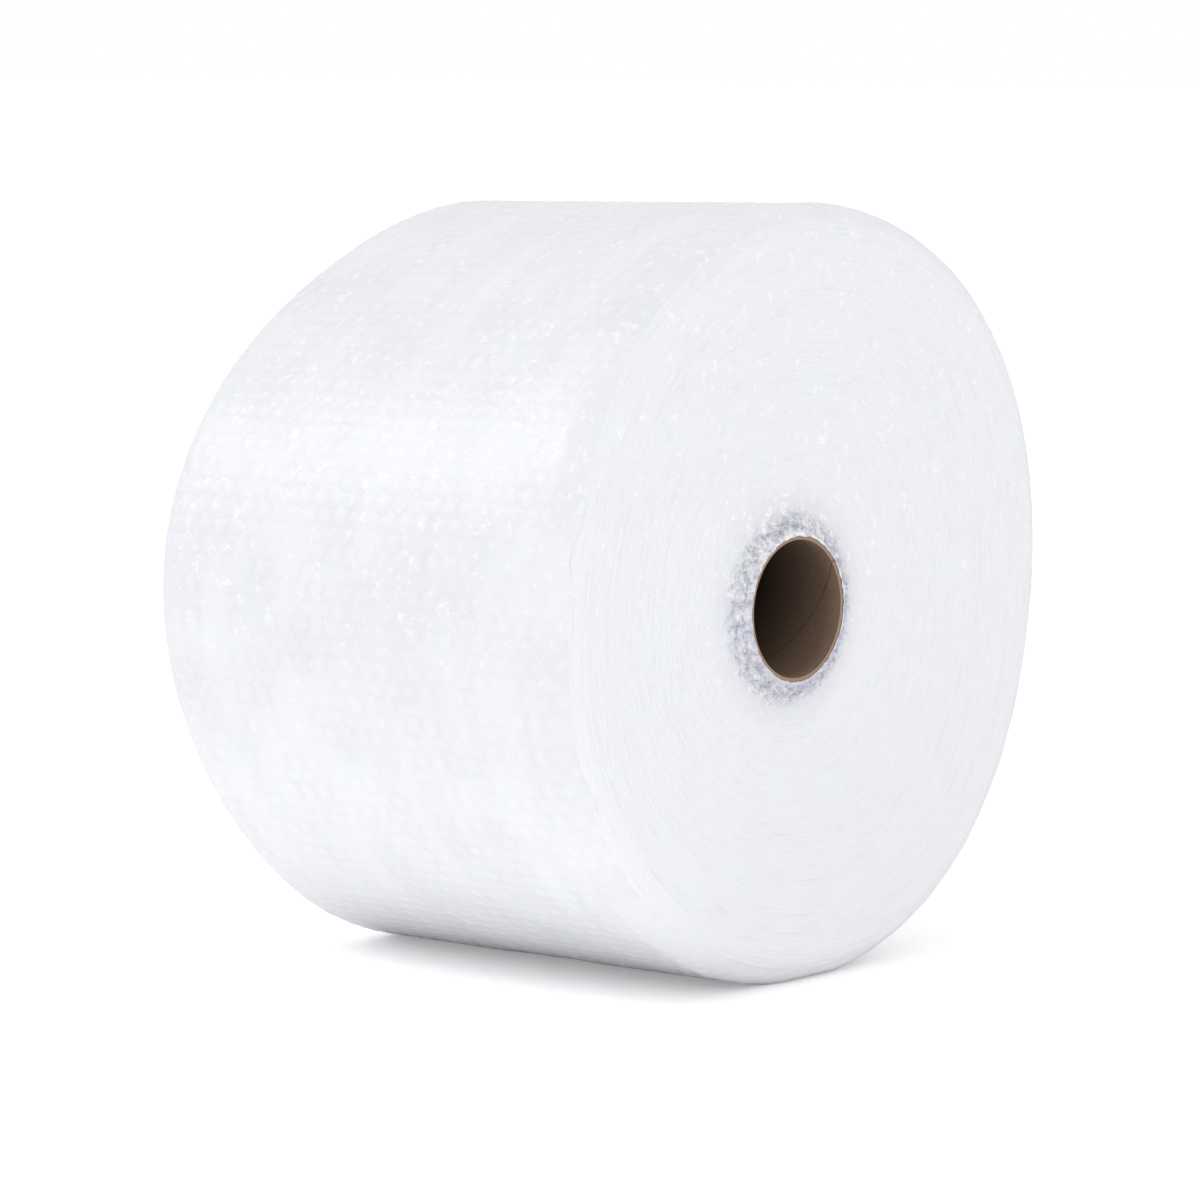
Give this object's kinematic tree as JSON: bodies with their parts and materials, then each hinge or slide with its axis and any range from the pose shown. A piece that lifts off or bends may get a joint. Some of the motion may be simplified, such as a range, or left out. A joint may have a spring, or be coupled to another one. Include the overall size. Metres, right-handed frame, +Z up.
{
  "type": "bubble wrap roll",
  "caption": "Roll of clear small-bubble cushioning film wound on a cardboard core, lying on its side on the flat that its own weight has pressed.",
  "frame": {"origin": "on the floor, under the middle of the whole roll", "axes": "+X along the core, towards the end that the core stands out of; +Z up"},
  "size_m": [0.3096, 0.4584, 0.4346],
  "materials": {
    "bubble_film": "clear blown polyethylene film, many layers deep, so it looks cool white and glints at its creases",
    "core_board": "brown kraft board plies wound in a spiral and glued"
  },
  "bodies": {
    "root": {"film_roll": "bubble_film", "core": "core_board"}
  },
  "joints": []
}
